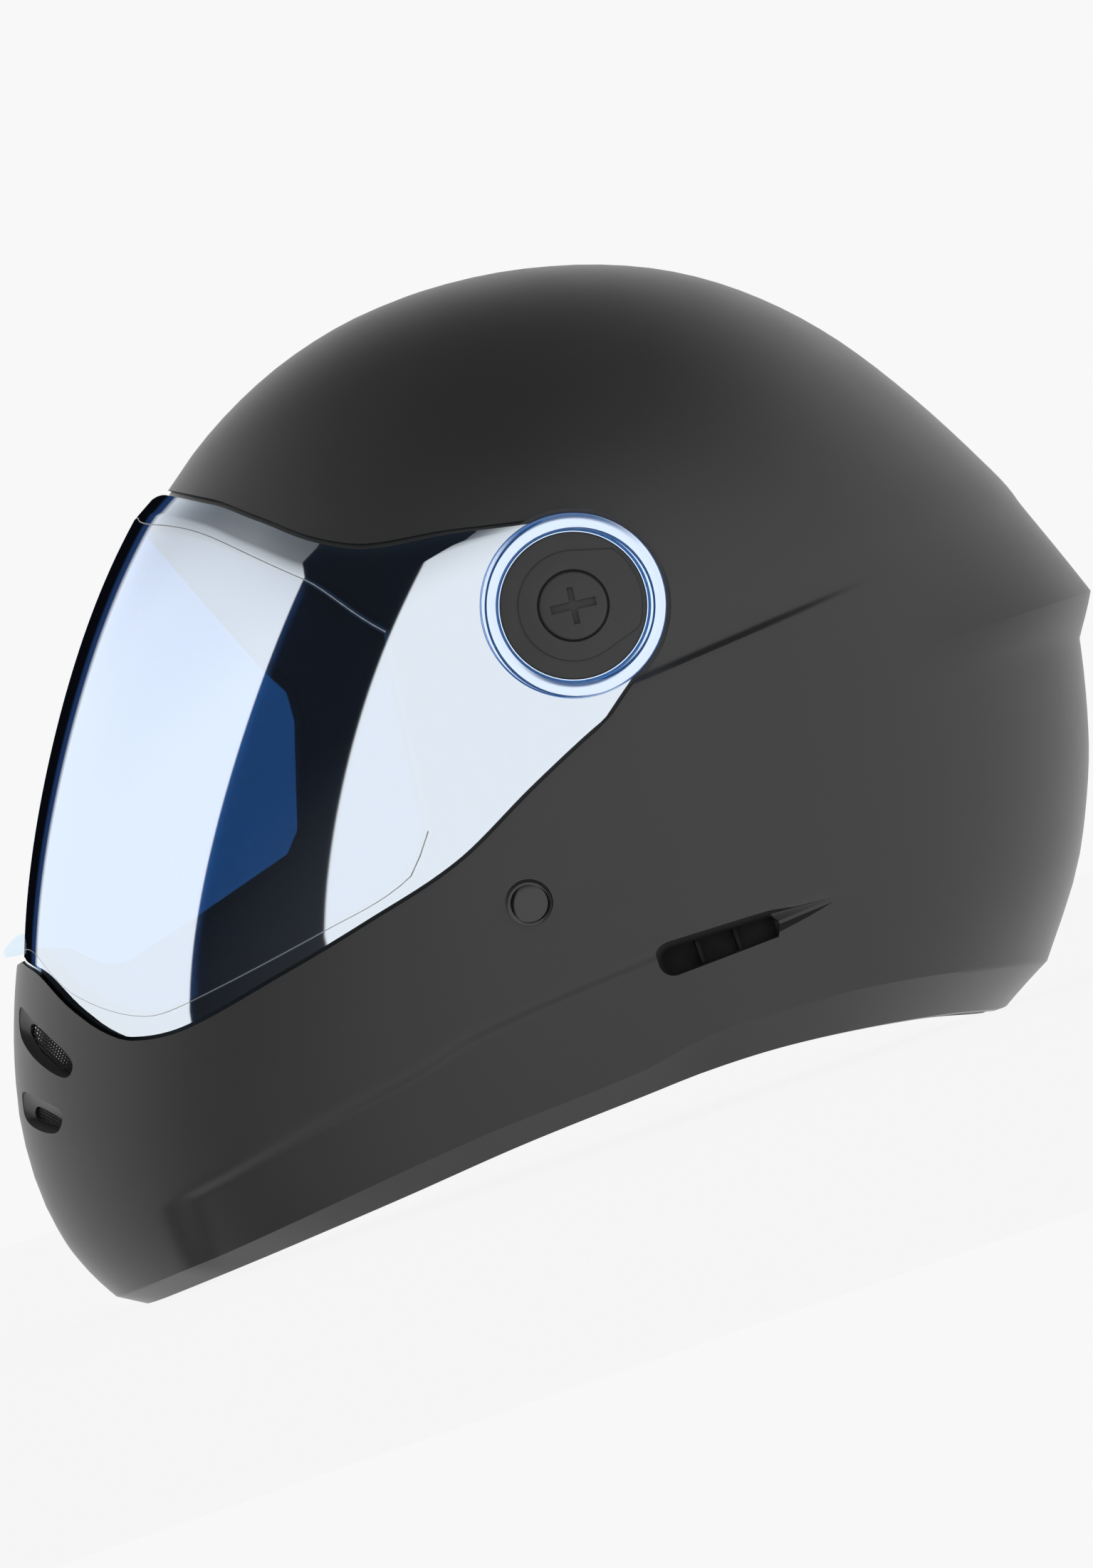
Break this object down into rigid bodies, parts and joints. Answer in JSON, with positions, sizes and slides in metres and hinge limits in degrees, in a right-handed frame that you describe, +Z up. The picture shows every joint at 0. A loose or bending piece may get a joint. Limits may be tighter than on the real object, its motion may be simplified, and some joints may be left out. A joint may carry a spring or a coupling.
{
  "type": "full face helmet",
  "caption": "Full face helmet with a swing-up clear visor, tail ridge, chin bar vents, foam liner, pads and a buckled chin strap.",
  "frame": {"origin": "centre of the footprint on the plane that the rim rests on", "axes": "+Z up, -Y the way the wearer faces, +X the wearer's left"},
  "size_m": [0.2426, 0.3604, 0.2634],
  "materials": {
    "shell": "satin black paint",
    "foam": "moulded black foam",
    "rubber": "black rubber",
    "mesh": "black moulded mesh",
    "black_plastic": "black moulded plastic",
    "cap": "satin black plastic",
    "gloss_black": "gloss black",
    "lining": "dark grey knitted lining over foam",
    "webbing": "black woven webbing",
    "visor": "clear polycarbonate with a silver-blue mirror coating",
    "lens": "clear anti-fog lens",
    "bead": "clear silicone bead",
    "brass": "turned brass",
    "steel": "stamped steel",
    "chrome": "polished steel"
  },
  "bodies": {
    "helmet": {"outer_shell": "shell", "impact_liner": "foam", "chin_bar_liner": "foam", "eye_port_seal": "rubber", "neck_edge_trim": "rubber", "chin_mesh_upper_left": "mesh", "chin_mesh_upper_right": "mesh", "chin_mesh_lower_left": "mesh", "chin_mesh_lower_right": "mesh", "side_vent_left": "black_plastic", "side_vent_right": "black_plastic", "crown_pad": "lining", "neck_roll": "lining", "cheek_pad_left": "lining", "cheek_pad_right": "lining", "pivot_hub_left": "black_plastic", "pivot_hub_right": "black_plastic", "pivot_nut_left": "brass", "pivot_nut_right": "brass", "friction_washer_left": "steel", "friction_washer_right": "steel", "pivot_cap_left": "cap", "pivot_cap_right": "cap", "pivot_screw_left": "cap", "pivot_screw_right": "cap", "strap_rivet_left": "gloss_black", "strap_rivet_right": "gloss_black"},
    "visor": {"visor_shield": "visor", "visor_ring_left": "visor", "visor_ring_right": "visor", "visor_tab": "visor", "anti_fog_lens": "lens", "lens_bead": "bead"},
    "chin_strap": {"strap_hanger_left": "steel", "strap_hanger_right": "steel", "strap_long": "webbing", "strap_short": "webbing", "d_rings": "chrome", "strap_pad_left": "lining", "strap_pad_right": "lining", "strap_stud": "gloss_black"}
  },
  "joints": [
    {"name": "visor_swing", "type": "hinge", "parent": "helmet", "child": "visor", "pos_m": [0, 0.0303, 0.1568], "axis": [-1, 0, 0], "range_deg": [0, 55]},
    {"name": "strap_swing", "type": "hinge", "parent": "helmet", "child": "chin_strap", "pos_m": [0, -0.0113, 0.0771], "axis": [1, 0, 0], "range_deg": [-10, 10]}
  ]
}
